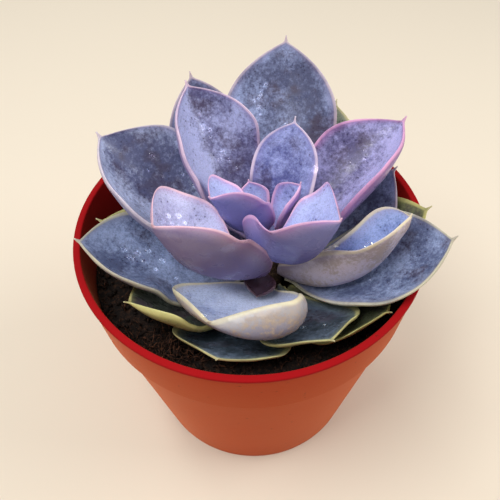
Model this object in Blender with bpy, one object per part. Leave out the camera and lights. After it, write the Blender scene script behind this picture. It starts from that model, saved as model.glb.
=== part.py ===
"""Potted echeveria: a rosette of fleshy leaves on a short stem, rooted in peat in a plastic nursery pot.

Metres, +Z up. The pot stands on Z = 0 with its axis on Z. Leaf tables are in millimetres and degrees.
"""

from dataclasses import dataclass
from math import cos, pi, radians, sin

import bmesh
import bpy
import numpy as np

MM = 0.001
SHARP_ANGLE = radians(35)

# Pot
POT_HEIGHT = 88.6
RIM_RADIUS = 53.0
BASE_RADIUS = 37.9
WALL = 1.3
LIP_WIDTH = 2.1
LIP_THICK = 1.0
LIP_OVERHANG = 0.45
COLLAR_HEIGHT = 20.0
COLLAR_TAPER = 1.9
COLLAR_STEP = 1.3
FLOOR_THICK = 1.8
POT_STEPS = 72
DRAIN_RADIUS = 4.5
DRAIN_RING = 24.0
DRAIN_COUNT = 5

# Soil
SOIL_DEPTH = 15.0
SOIL_GAP = 0.35
SOIL_RINGS = 16
SOIL_SPOKES = 56
SOIL_UNDER_LEAF = 1.2

# Crown and stem
CROWN_X = 5.0
CROWN_Y = -5.0
CROWN_LEAN = 0.2
# (height over the rim, radius)
STEM_PROFILE = [
    (-32, 1.2),
    (-26, 2.6),
    (-20, 4.6),
    (-13, 4.6),
    (-10, 3.2),
    (-6, 3.0),
    (-2.5, 1.4),
    (-1, 0.8),
]
STEM_SIDES = 16
SOCKET_GAP = 0.35

# Leaves
LEAF_GAP = 0.6
DEEPEST_PUSH = 11.0
GRID_ALONG = 61
GRID_ACROSS = 33
STATIONS = 10
TIP_STATIONS = 4
HALF_PANELS = 3
TIP_POINT = 0.15
FOLD_STEPS = 40


@dataclass
class Leaf:
    """Heights are above the rim, angles in degrees; left and right are as seen looking outward."""

    name: str
    heading: float
    height: float
    length: float
    width: float
    rise: float  # inclination of the midrib at the base
    lift: float  # and at the tip
    finish: str = "leaf_blue"
    root_out: float = 5.0  # distance of the root from the crown's axis
    root_heading: float = None  # direction of the root from the axis, if not the heading
    sweep: float = 0.0  # turn of the heading from base to tip
    curl: float = 0.0  # extra inclination over the last quarter
    fold: float = 35.0  # how far each half turns up at its edge
    fold_base: float = 0.2  # share of the fold at the base
    fold_tip: float = 0.7  # share of it at the tip
    right_fold: float = 1.0  # share of it in the right half
    open_from: float = 0.7  # where along the leaf the fold starts to open
    crease: float = 0.8  # small for a sharp V, large for a dish
    roll: float = 0.0  # positive lifts the left half
    roll_tip: float = None
    thick: float = 2.6
    spike: float = 2.6
    widest: float = 0.62
    widest_left: float = None
    widest_right: float = None
    base_width: float = 0.15
    base_curve: float = 1.0
    end_curve: float = 2.1
    blunt: float = 1.15
    left_share: float = 1.0  # width of each half, as a share of half the width
    right_share: float = 1.0
    pinch_left: float = 0.0
    pinch_right: float = 0.0
    ear_left: float = 0.0  # how far each half's rounded base reaches back past the root
    ear_right: float = 0.0
    settles: bool = True  # pressed down under the leaves above it


# From the heart outwards. Each leaf lies under those before it.
LEAVES = [
    Leaf("leaf_01", 10, 1, 18.5, 13.5, 56, 78, "leaf_lavender", root_out=3.2, root_heading=40, fold=66,
         fold_base=0.8, crease=0.5, thick=1.8, spike=1.6, base_curve=0.6, settles=False),
    Leaf("leaf_02", -165, 0.6, 24, 27, 32, 82, "leaf_lavender", root_out=2, root_heading=175, sweep=-8,
         curl=-30, fold=98, fold_base=0.9, fold_tip=0.45, open_from=0.05, crease=0.3, roll=6, roll_tip=38,
         thick=1.8, spike=1.2, widest=0.58, widest_right=0.76, right_share=0.85, base_width=0.05,
         base_curve=0.4, end_curve=4, blunt=2.2, pinch_left=0.1, pinch_right=0.65, ear_left=2,
         settles=False),
    Leaf("leaf_03", 115, 0, 14, 11, 55, 76, "leaf_lavender", root_out=6, fold=50, fold_base=0.55,
         thick=2, spike=1.2, base_curve=0.6),
    Leaf("leaf_04", -60, -0.6, 37, 36, 8, 86, "leaf_lavender", root_out=4.5, root_heading=-120, sweep=72,
         curl=-20, fold=96, fold_base=0.9, fold_tip=0.5, open_from=0.1, crease=0.3, roll_tip=-48,
         thick=1.8, spike=1.4, widest=0.5, widest_left=0.84, widest_right=0.3, right_share=0.95,
         base_width=0.3, base_curve=0.3, end_curve=4, blunt=2.2, pinch_left=0.65, ear_right=2,
         settles=False),
    Leaf("leaf_05", 67, -2, 35.5, 21, 40, 62, "leaf_lavender", root_out=3, sweep=4, fold_base=0.55,
         thick=2.8, widest=0.5, base_curve=0.45, end_curve=3),
    Leaf("leaf_06", -161, -5.8, 45, 40, 10, 85, "leaf_lavender", root_out=8.3, root_heading=-97,
         sweep=-12, curl=-10, fold=100, fold_base=0.9, fold_tip=0.45, open_from=0.05, crease=0.3,
         roll_tip=36, thick=2, spike=1.6, widest=0.55, widest_left=0.7, widest_right=0.7,
         right_share=0.98, base_width=0.05, base_curve=0.4, end_curve=4, blunt=2.2, pinch_right=0.76,
         pinch_left=0.05, ear_left=2, settles=False),
    Leaf("leaf_07", -34, -10.5, 48.5, 30, -5, 82, root_out=4.9, sweep=68, curl=-20, fold=105,
         fold_base=0.9, fold_tip=0.45, open_from=0.3, crease=0.3, roll=2, roll_tip=-36, spike=1.4,
         widest=0.5, widest_left=0.62, left_share=0.72, right_share=0.9, base_width=0.5,
         base_curve=0.3, end_curve=4, blunt=2.2, pinch_left=0.1, pinch_right=0.1, settles=False),
    Leaf("leaf_08", 123, -6, 53, 37, 30, 62, fold=75, fold_base=0.4, crease=0.6, roll=-4, thick=3.2),
    Leaf("leaf_09", 30, -7, 55, 36, 15, 48, sweep=8, fold=62, fold_base=0.4, crease=0.6, roll=-12,
         thick=3.2),
    Leaf("leaf_10", 165, -8.5, 60, 36, 12, 57, sweep=-22, fold=60, fold_base=0.4, crease=0.7, roll=3,
         thick=3.2, widest_left=0.5, widest_right=0.68, end_curve=2.7, left_share=1.1, right_share=1.15),
    Leaf("leaf_11", 81.5, -10, 68, 38, 20, 62, fold=35, fold_base=0.4, thick=3.2, base_curve=0.8),
    Leaf("leaf_12", -103, -9.5, 12.5, 10.5, 0, 30, root_out=4.6, fold=50, fold_base=0.55, thick=2,
         spike=1.4),
    Leaf("leaf_13", -103, -10.5, 37, 52, -4, 62, root_out=6, sweep=-40, fold=135, fold_base=0.4,
         fold_tip=1.3, right_fold=0.3, crease=2.5, roll=2, roll_tip=18, thick=3, base_curve=0.8,
         end_curve=2.6, blunt=1.4, left_share=1.02, right_share=0.84, widest_right=0.55, pinch_left=0.2),
    Leaf("leaf_14", -18, -11.5, 55, 35, -3, 57, sweep=14, fold=38, fold_base=0.3, roll=2, thick=2.8),
    Leaf("leaf_15", 27, -11, 46, 30, 8, 44, fold=30),
    Leaf("leaf_16", 116, -12, 63, 30, 14, 70, fold=30),
    Leaf("leaf_17", -174, -12, 56, 34, -4, 53, fold=45, roll=4, thick=2.8),
    Leaf("leaf_18", 63, -13, 58, 32, 8, 48, fold=25),
    Leaf("leaf_19", 168, -14, 51, 28, 0, 34, "leaf_olive", fold=22, thick=2.4),
    Leaf("leaf_20", -66, -11, 36, 33, -6, 46, "leaf_olive", root_out=6, fold=40, fold_base=0.1,
         thick=2.4),
    Leaf("leaf_21", 8, -13, 49, 28, 4, 42, "leaf_olive", fold=22, thick=2.4),
    Leaf("leaf_22", -153, -11.9, 42, 30, -5, 40, "leaf_olive", root_out=6, fold=90, fold_base=0.1,
         fold_tip=1, right_fold=0.5, crease=1.5, roll=-4, thick=2.4, left_share=1.2),
    Leaf("leaf_23", -38, -12.5, 38, 34, -4, 40, "leaf_olive", root_out=6, fold=30, fold_base=0.1,
         roll=3, thick=2.4, left_share=1.1),
    Leaf("leaf_24", -113, -13, 34, 35, -5, 30, "leaf_olive", root_out=6, fold=32, fold_base=0.1,
         thick=2.6, spike=1.2, end_curve=3, blunt=1.6, right_share=1.1),
    # Lower leaves on the far side
    Leaf("leaf_25", 99, -13, 54, 32, 6, 46, fold=25),
    Leaf("leaf_26", 141, -13.5, 52, 32, 4, 42, fold=25),
    Leaf("leaf_27", 45, -14, 48, 30, 4, 36, "leaf_olive", fold=22, thick=2.4),
    Leaf("leaf_28", 80, -15, 45, 28, 2, 30, "leaf_olive", fold=22, thick=2.4),
    Leaf("leaf_29", 122, -15, 45, 28, 2, 30, "leaf_olive", fold=22, thick=2.4),
    Leaf("leaf_30", 154, -15, 42, 26, 0, 28, "leaf_olive", fold=22, thick=2.4),
]

# Base colour, roughness
FINISHES = {
    "leaf_lavender": ((0.330, 0.310, 0.640), 0.50),
    "leaf_blue": ((0.150, 0.165, 0.300), 0.50),
    "leaf_olive": ((0.210, 0.230, 0.120), 0.50),
    "stem_skin": ((0.180, 0.130, 0.080), 0.70),
    "peat": ((0.030, 0.017, 0.010), 0.95),
    "pot_plastic": ((0.560, 0.110, 0.050), 0.45),
}


def smoothstep(start, end, x):
    t = np.clip((x - start) / (end - start), 0, 1)
    return t * t * (3 - 2 * t)


# --- Leaf shape: u runs from root to tip, v from the right edge (-1) to the left edge (+1)


def half_width(leaf, u, widest):
    """Half the blade's width: narrow base, full middle, rounded end drawn out into a spike."""
    widest = widest or leaf.widest
    end = 1 - 0.75 * leaf.spike / leaf.length
    near = np.clip(1 - (1 - np.clip(u / widest, 0, 1)) ** 2, 0, 1) ** leaf.base_curve
    near = ((near**3 + leaf.base_width**3) / (1 + leaf.base_width**3)) ** (1 / 3)
    far = np.clip((u - widest) / (end - widest), 0, 1) ** leaf.end_curve
    far = np.clip(1 - far, 0, 1) ** (1 / leaf.blunt)
    body = np.where(u < widest, near, far) * leaf.width / 2
    reach = 3.2 * leaf.spike / leaf.length
    spike = 1.5 * np.clip(leaf.width / 30, 0.5, 1) * np.clip((1 - u) / reach, 0, 1) ** 1.2
    spike = spike * smoothstep(0.6, 0.8, u)
    return np.maximum((body**2.2 + spike**2.2) ** (1 / 2.2), TIP_POINT)


def midrib(leaf, u):
    """Points along the midrib, with the blade's sideways and upward directions there."""
    climb = np.radians(leaf.rise + (leaf.lift - leaf.rise) * u + leaf.curl * smoothstep(0.72, 1, u))
    turn = np.radians(leaf.heading + leaf.sweep * u)
    flat = np.stack([np.cos(turn), np.sin(turn), 0 * u], 1)
    along = np.cos(climb)[:, None] * flat + np.sin(climb)[:, None] * np.array([0, 0, 1])
    side = np.stack([-np.sin(turn), np.cos(turn), 0 * u], 1)
    up = np.cross(along, side)
    roll_tip = leaf.roll if leaf.roll_tip is None else leaf.roll_tip
    roll = np.radians(leaf.roll + (roll_tip - leaf.roll) * u)[:, None]
    side, up = side * np.cos(roll) + up * np.sin(roll), up * np.cos(roll) - side * np.sin(roll)
    root_turn = radians(leaf.heading if leaf.root_heading is None else leaf.root_heading)
    root = crown_at(leaf.height) + leaf.root_out * np.array([cos(root_turn), sin(root_turn), 0])
    steps = (along[1:] + along[:-1]) / 2 * np.diff(u)[:, None] * leaf.length
    return root + np.concatenate([np.zeros((1, 3)), np.cumsum(steps, 0)]), side, up


def crown_at(height):
    """The crown's axis at a height above the rim."""
    return np.array([CROWN_X, CROWN_Y + CROWN_LEAN * height, POT_HEIGHT + height])


def section(leaf, u, v):
    """Sideways and upward offsets of the blade's middle surface, and its slope, for every u and v."""
    fold = leaf.fold_base + (1 - leaf.fold_base) * smoothstep(0, 0.5, u)
    fold = np.radians(leaf.fold) * fold * (1 - (1 - leaf.fold_tip) * smoothstep(leaf.open_from, 1, u))
    fold = fold[:, None] * np.where(v < 0, leaf.right_fold, 1)
    steps = (np.arange(FOLD_STEPS) + 0.5) / FOLD_STEPS
    slopes = fold[..., None] * (abs(v)[:, None] * steps) ** leaf.crease
    out = np.cos(slopes).mean(2) * v
    up = np.sin(slopes).mean(2) * abs(v)
    fade = 1 - smoothstep(0, 0.6, u)
    left = half_width(leaf, u, leaf.widest_left) * leaf.left_share * (1 - leaf.pinch_left * fade)
    right = half_width(leaf, u, leaf.widest_right) * leaf.right_share * (1 - leaf.pinch_right * fade)
    reach = np.where(v < 0, right[:, None], left[:, None])
    return out * reach, up * reach, fold * abs(v) ** leaf.crease * np.sign(v)


def thickness(leaf, u):
    base = 0.6 + 0.4 * smoothstep(0, 0.4, u)
    body = leaf.thick * base * (1 - 0.5 * smoothstep(0.45, 0.95, u))
    end = 0.15 + 0.85 * np.clip((1 - u) * leaf.length / (2.5 * leaf.spike), 0, 1) ** 0.8
    body = body * np.where(u > 0.999, 0.25, end)
    return np.minimum(body, 1.3 * half_width(leaf, u, None) + 0.15)


def skin(leaf, u, v, push=0):
    """Top and bottom points of the leaf, moved by push."""
    centre, side, up = midrib(leaf, u)
    out, rise, slope = section(leaf, u, v)
    turn, climb = radians(leaf.heading), radians(leaf.rise)
    ahead = np.array([cos(turn) * cos(climb), sin(turn) * cos(climb), sin(climb)])
    ears = np.where(v < 0, leaf.ear_right, leaf.ear_left) * abs(v) ** 1.5
    back = (smoothstep(-0.1, 0.1, u) * (1 - smoothstep(0.1, 0.5, u)))[:, None] * ears
    centre = centre[:, None] - back[..., None] * ahead
    full = thickness(leaf, u)[:, None] * np.sqrt(np.clip(1 - v**2, 0, 1))
    keel = 1 + 0.25 * np.exp(-((v / 0.35) ** 2))
    surfaces = []
    for offset in (0.18 * full, -0.82 * full * keel):
        across = (out - np.sin(slope) * offset)[..., None] * side[:, None]
        normal = (rise + np.cos(slope) * offset)[..., None] * up[:, None]
        surfaces.append(centre + across + normal + push)
    return surfaces


# --- Nesting: each leaf gives way under the leaves above it


def along_grid():
    return np.linspace(0, 1, GRID_ALONG)


def across_grid():
    return np.sin(np.linspace(-1, 1, GRID_ACROSS) * pi / 2)


def of_neighbours(values, choose):
    """Each cell becomes choose() of itself and its eight neighbours."""
    wide = np.pad(values, 1, mode="edge")
    rows, columns = values.shape
    return choose([wide[i : i + rows, j : j + columns] for i in range(3) for j in range(3)], axis=0)


def cells_of(along, across):
    """Index of the square millimetre under each point of a leaf's own frame."""
    rows = np.clip(np.round(along + 80), 1, 198).astype(int)
    return rows, np.clip(np.round(across + 100), 1, 198).astype(int)


def lowest_map(along, across, height):
    """Lowest height over each square millimetre and those beside it."""
    lowest = np.full((200, 200), np.inf)
    rows, columns = cells_of(along, across)
    for i in (-1, 0, 1):
        for j in (-1, 0, 1):
            np.minimum.at(lowest, (rows + i, columns + j), height)
    return lowest


def settle(leaf, above):
    """How far each point of the leaf gives way, and in which direction, to clear the leaves above."""
    u, v = along_grid(), across_grid()
    centre, side, _ = midrib(leaf, u)
    chord = (centre[-1] - centre[0]) / np.linalg.norm(centre[-1] - centre[0])
    level = side.mean(0) - side.mean(0) @ chord * chord
    level = level / np.linalg.norm(level)
    away = -np.cross(chord, level)
    if not above or not leaf.settles:
        return np.zeros((GRID_ALONG, GRID_ACROSS)), away
    top = skin(leaf, u, v)[0] - centre[0]
    own_cells = cells_of(top @ chord, top @ level)
    own = lowest_map(top @ chord, top @ level, -(top @ away))
    others = np.concatenate([points.reshape(-1, 3) for points in above]) - centre[0]
    under = own[cells_of(others @ chord, others @ level)]
    over = others[(under < np.inf) & (-(others @ away) > under - DEEPEST_PUSH)]
    ceiling = lowest_map(over @ chord, over @ level, -(over @ away))[own_cells]
    need = np.where(np.isfinite(ceiling), np.clip(LEAF_GAP - top @ away - ceiling, 0, DEEPEST_PUSH), 0)
    wide = of_neighbours(need, np.max)
    push = of_neighbours(wide, np.max)
    for _ in range(8):
        push = of_neighbours(push, np.mean)
    push = np.maximum(push, wide)
    for _ in range(2):
        push = of_neighbours(push, np.mean)
    return push, away


def settled_leaves():
    """(leaf, push, direction) for every leaf, and the underside points of all of them."""
    settled, undersides = [], []
    for leaf in LEAVES:
        push, away = settle(leaf, undersides)
        top, bottom = skin(leaf, along_grid(), across_grid(), push[..., None] * away)
        undersides.append(np.concatenate([bottom, top[:, [0, -1]]], 1))
        settled.append((leaf, push, away))
    return settled, undersides


def sampled(push, u, v):
    """The push grid read at other u and v."""
    at_u = np.array([np.interp(u, along_grid(), column) for column in push.T]).T
    return np.array([np.interp(v, across_grid(), row) for row in at_u])


# --- Blender objects


def material(name):
    made = bpy.data.materials.get(name)
    if made:
        return made
    colour, roughness = FINISHES[name]
    made = bpy.data.materials.new(name)
    made.use_nodes = True
    surface = made.node_tree.nodes["Principled BSDF"]
    surface.inputs["Base Color"].default_value = (*colour, 1)
    surface.inputs["Roughness"].default_value = roughness
    surface.inputs["Metallic"].default_value = 0
    return made


def mesh_object(name, bm, finish, origin=(0, 0, 0)):
    """The mesh, in millimetres of the world, as an object in metres with its origin at a given point."""
    bmesh.ops.translate(bm, verts=bm.verts, vec=[-value for value in origin])
    bmesh.ops.scale(bm, verts=bm.verts, vec=(MM, MM, MM))
    bmesh.ops.recalc_face_normals(bm, faces=bm.faces)
    mesh = bpy.data.meshes.new(name)
    bm.to_mesh(mesh)
    bm.free()
    mesh.shade_smooth()
    mesh.set_sharp_from_angle(angle=SHARP_ANGLE)
    made = bpy.data.objects.new(name, mesh)
    made.location = [value * MM for value in origin]
    bpy.context.scene.collection.objects.link(made)
    if finish:
        mesh.materials.append(material(finish))
    return made


def add_loft(bm, rings):
    """A closed skin over rings of equal length, with a flat fan over each end."""
    loops = [[bm.verts.new(point) for point in ring] for ring in rings]
    for near, far in zip(loops, loops[1:]):
        for j in range(len(near)):
            k = (j + 1) % len(near)
            bm.faces.new((near[j], near[k], far[k], far[j]))
    for loop in (loops[0], loops[-1]):
        middle = bm.verts.new(np.mean([vert.co for vert in loop], axis=0))
        for j in range(len(loop)):
            bm.faces.new((loop[j], loop[(j + 1) % len(loop)], middle))


def add_lathe(bm, profile, steps):
    """A closed outline of (radius, height) points spun round Z."""
    loop = [bm.verts.new((radius, 0, height)) for radius, height in profile]
    edges = [bm.edges.new((loop[i - 1], loop[i])) for i in range(len(loop))]
    bmesh.ops.spin(bm, geom=loop + edges, axis=(0, 0, 1), cent=(0, 0, 0), angle=2 * pi, steps=steps,
                   use_merge=True)
    bmesh.ops.remove_doubles(bm, verts=bm.verts, dist=1e-4)


def cut(target, cutter):
    cutter.hide_render = True
    cutter.display_type = "WIRE"
    boolean = target.modifiers.new("cut_" + cutter.name, "BOOLEAN")
    boolean.operation = "DIFFERENCE"
    boolean.solver = "EXACT"
    boolean.object = cutter


def make_leaf(leaf, push, away):
    tip_reach = 3 * leaf.spike / leaf.length
    body = np.linspace(0, 1 - tip_reach, STATIONS, endpoint=False)
    u = np.concatenate([body, 1 - tip_reach + tip_reach * np.linspace(0, 1, TIP_STATIONS) ** 0.85])
    v = np.sin(np.linspace(-1, 1, 2 * HALF_PANELS + 1) * pi / 2)
    top, bottom = skin(leaf, u, v, sampled(push, u, v)[..., None] * away)
    bm = bmesh.new()
    add_loft(bm, np.concatenate([top, bottom[:, -2:0:-1]], 1))
    root = top[0, HALF_PANELS]
    return mesh_object(leaf.name, bm, leaf.finish, root)


def inner_radius(height):
    """Radius of the pot's inside at a height over its foot."""
    heights = [FLOOR_THICK, POT_HEIGHT - COLLAR_HEIGHT - 0.5, POT_HEIGHT - COLLAR_HEIGHT + 1, POT_HEIGHT]
    body_top = RIM_RADIUS - LIP_OVERHANG - COLLAR_TAPER - COLLAR_STEP - WALL
    collar_foot = body_top + COLLAR_STEP
    radii = [BASE_RADIUS - WALL, body_top, collar_foot, RIM_RADIUS - LIP_WIDTH]
    return float(np.interp(height, heights, radii))


def make_pot():
    """Tapered body, straight collar stepped out over it, and a flat lip."""
    collar_top = RIM_RADIUS - LIP_OVERHANG
    collar_foot = collar_top - COLLAR_TAPER
    step = POT_HEIGHT - COLLAR_HEIGHT
    edge = 0.25
    outside = [
        (BASE_RADIUS - 0.8, 0),
        (BASE_RADIUS, 0.8),
        (collar_foot - COLLAR_STEP, step - 0.6),
        (collar_foot - edge, step - 0.4),
        (collar_foot, step),
        (collar_top, POT_HEIGHT - LIP_THICK - 0.3),
        (RIM_RADIUS, POT_HEIGHT - LIP_THICK),
        (RIM_RADIUS, POT_HEIGHT - edge),
        (RIM_RADIUS - edge, POT_HEIGHT),
        (RIM_RADIUS - LIP_WIDTH + edge, POT_HEIGHT),
    ]
    levels = [POT_HEIGHT - edge, step + 1, step - 0.5, FLOOR_THICK]
    inside = [(inner_radius(level), level) for level in levels]
    bm = bmesh.new()
    add_lathe(bm, [(0, 0), *outside, *inside, (0, FLOOR_THICK)], POT_STEPS)
    pot = mesh_object("pot", bm, "pot_plastic")
    for i in range(DRAIN_COUNT):
        turn = 2 * pi * i / DRAIN_COUNT + 0.3
        cut(pot, make_drain_cutter(i, DRAIN_RING * cos(turn), DRAIN_RING * sin(turn)))
    return pot


def make_drain_cutter(index, x, y):
    bm = bmesh.new()
    bmesh.ops.create_cone(bm, cap_ends=True, segments=20, radius1=DRAIN_RADIUS, radius2=DRAIN_RADIUS,
                          depth=3 * FLOOR_THICK)
    bmesh.ops.translate(bm, verts=bm.verts, vec=(x, y, FLOOR_THICK / 2))
    return mesh_object(f"drain_cutter_{index}", bm, None, (x, y, 0))


def soil_height(x, y):
    """Uneven surface of the peat, above the foot of the pot, with a lump by the wall at front left."""
    waves = sin(0.31 * x + 0.7) * cos(0.27 * y)
    waves += 0.5 * sin(0.63 * x - 0.41 * y) + 0.4 * cos(0.9 * y + 0.5 * x)
    lump = 2.6 * np.exp(-(((x + 25) / 7) ** 2 + ((y + 36) / 5) ** 2))
    return POT_HEIGHT - SOIL_DEPTH + 0.45 * waves + lump


def make_soil(undersides):
    """Peat filling the pot, dished where leaves lie on it, with a socket for the stem."""
    points = np.concatenate([grid.reshape(-1, 3) for grid in undersides])
    leaf_floor = lowest_map(points[:, 0], points[:, 1], points[:, 2])
    for _ in range(2):
        leaf_floor = of_neighbours(leaf_floor, np.min)
    levels = [FLOOR_THICK + SOIL_GAP, POT_HEIGHT - COLLAR_HEIGHT - 0.8, POT_HEIGHT - COLLAR_HEIGHT + 1.2]
    rings = []
    turns = [2 * pi * j / SOIL_SPOKES for j in range(SOIL_SPOKES)]
    for level in levels:
        radius = inner_radius(level) - SOIL_GAP
        rings.append([(radius * cos(turn), radius * sin(turn), level) for turn in turns])
    outer = inner_radius(POT_HEIGHT - SOIL_DEPTH) - SOIL_GAP - 0.1
    for i in range(SOIL_RINGS):
        radius = outer * (1 - i / SOIL_RINGS)
        ring = []
        for turn in turns:
            x, y = radius * cos(turn), radius * sin(turn)
            row, column = cells_of(x, y)
            ring.append((x, y, min(soil_height(x, y), leaf_floor[row, column] - SOIL_UNDER_LEAF)))
        rings.append(ring)
    bm = bmesh.new()
    add_loft(bm, rings)
    soil = mesh_object("soil", bm, "peat")
    cut(soil, make_stem_solid("socket_cutter", None, SOCKET_GAP))
    return soil


def make_stem_solid(name, finish, extra):
    """Short stem along the crown's axis, running down into the peat and tapering to its foot."""
    turns = [2 * pi * j / STEM_SIDES for j in range(STEM_SIDES)]
    rings = []
    for height, radius in STEM_PROFILE:
        centre = crown_at(height) - np.array([0, 0, extra])
        rings.append([centre + (radius + extra) * np.array([cos(turn), sin(turn), 0]) for turn in turns])
    bm = bmesh.new()
    add_loft(bm, rings)
    return mesh_object(name, bm, finish, crown_at(-SOIL_DEPTH))


def main():
    for old in list(bpy.data.objects):
        bpy.data.objects.remove(old)
    settled, undersides = settled_leaves()
    make_pot()
    make_soil(undersides)
    make_stem_solid("stem", "stem_skin", 0)
    for leaf, push, away in settled:
        make_leaf(leaf, push, away)


main()
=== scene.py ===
"""Looks of the potted echeveria, laid out as an add-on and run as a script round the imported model.

The frame is in metres; leaf shapes are in millimetres and degrees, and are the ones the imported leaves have.
"""

from dataclasses import dataclass
from functools import partial
from math import cos, pi, radians, sin
from types import SimpleNamespace

import bmesh
import bpy
import numpy as np
from bpy.props import FloatProperty, FloatVectorProperty, PointerProperty
from mathutils import Matrix, Vector
from mathutils.bvhtree import BVHTree


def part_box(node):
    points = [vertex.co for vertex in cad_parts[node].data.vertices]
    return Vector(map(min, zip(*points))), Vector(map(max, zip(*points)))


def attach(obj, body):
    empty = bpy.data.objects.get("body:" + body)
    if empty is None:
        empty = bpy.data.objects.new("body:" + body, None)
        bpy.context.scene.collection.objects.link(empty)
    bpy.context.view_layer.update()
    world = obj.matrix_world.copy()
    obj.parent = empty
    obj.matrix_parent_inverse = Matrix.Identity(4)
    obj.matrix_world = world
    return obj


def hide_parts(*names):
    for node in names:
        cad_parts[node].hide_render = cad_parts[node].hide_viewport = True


bl_info = {
    "name": "Potted Echeveria",
    "version": (1, 0, 0),
    "blender": (4, 5, 0),
    "location": "View3D > Sidebar > Echeveria",
    "description": "Builds a potted echeveria: leaves, stem, peat, pot, water drops and a stage",
    "category": "Add Mesh",
}

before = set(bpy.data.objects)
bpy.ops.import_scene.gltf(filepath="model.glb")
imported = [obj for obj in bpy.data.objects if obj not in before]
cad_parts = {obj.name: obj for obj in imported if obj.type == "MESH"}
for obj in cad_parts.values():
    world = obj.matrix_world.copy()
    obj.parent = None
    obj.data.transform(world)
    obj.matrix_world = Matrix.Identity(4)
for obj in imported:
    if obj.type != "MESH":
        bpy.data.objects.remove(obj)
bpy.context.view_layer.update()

MM = 0.001

# Pot, measured on the frame
POT_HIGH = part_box("pot")[1]
POT_HEIGHT = POT_HIGH.z / MM
RIM_RADIUS = POT_HIGH.x / MM

# Crown, from which the leaves grow
CROWN_X = 5.0
CROWN_Y = -5.0
CROWN_LEAN = 0.2

# Leaves
LEAF_GAP = 0.6
DEEPEST_PUSH = 11.0
GRID_ALONG = 61
GRID_ACROSS = 33
MAP_CELLS = 200  # along each side of the square maps in which a leaf looks for leaves above it
MAP_ROOT = (80, 100)  # the cell that the leaf's root is over
WIDE_SMOOTHINGS = 8
LAST_SMOOTHINGS = 2
STATIONS = 62
TIP_STATIONS = 12
HALF_PANELS = 13
TIP_POINT = 0.15
FOLD_STEPS = 40
EDGE_POWER = 3.5
CURL_FROM = 0.72
BLADE_END = 0.75  # how far before the tip the blade's rounded end lies, in spikes
SPIKE_REACH = 3.2  # how far before the tip the spike's foot lies, in spikes
SPIKE_HALF_WIDTH = 1.9
SPIKE_TAPER = 0.85
SPIKE_FULL_AT = 30  # leaves at least this wide have spikes of that width
BLEND = 2.2  # power by which blade and spike are blended
ROOT_THICKNESS = 0.6  # shares of a leaf's full thickness
END_THICKNESS = 0.5
TIP_THICKNESS = 0.15
THICK_SPIKES = 2.5  # how far before the tip the thinning to it starts, in spikes
MOST_THICKNESS = 1.3  # of half the width
TOP_SHARE = 0.18  # share of the thickness over the blade's middle surface
KEEL_SHARE = 0.25  # extra thickness down the middle of the underside
KEEL_WIDTH = 0.35
EAR_POWER = 1.5


@dataclass
class Leaf:
    """Heights are above the rim, angles in degrees; left and right are as seen looking outward."""

    name: str
    heading: float
    height: float
    length: float
    width: float
    rise: float  # inclination of the midrib at the base
    lift: float  # and at the tip
    slot: str = "leaf_blue"
    root_out: float = 5.0  # distance of the root from the crown's axis
    root_heading: float = None  # direction of the root from the axis, if not the heading
    sweep: float = 0.0  # turn of the heading from base to tip
    curl: float = 0.0  # extra inclination over the last quarter
    fold: float = 35.0  # how far each half turns up at its edge
    fold_base: float = 0.2  # share of the fold at the base
    fold_tip: float = 0.7  # share of it at the tip
    right_fold: float = 1.0  # share of it in the right half
    open_from: float = 0.7  # where along the leaf the fold starts to open
    crease: float = 0.8  # small for a sharp V, large for a dish
    roll: float = 0.0  # positive lifts the left half
    roll_tip: float = None  # roll at the tip, if it changes on the way
    thick: float = 2.6
    spike: float = 2.6  # length of the point at the tip
    widest: float = 0.62  # where along the leaf it is widest
    widest_left: float = None  # the same for one half, if it differs
    widest_right: float = None
    base_width: float = 0.15  # share of the width at the root
    base_curve: float = 1.0  # small where the leaf widens soon
    end_curve: float = 2.1  # large where it stays wide for long
    blunt: float = 1.15  # large for a blunt end
    left_share: float = 1.0  # width of each half, as a share of half the width
    right_share: float = 1.0
    pinch_left: float = 0.0  # how much each half is narrowed at the root
    pinch_right: float = 0.0
    ear_left: float = 0.0  # how far each half's rounded base reaches back past the root
    ear_right: float = 0.0
    settles: bool = True  # pressed down under the leaves above it


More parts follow.
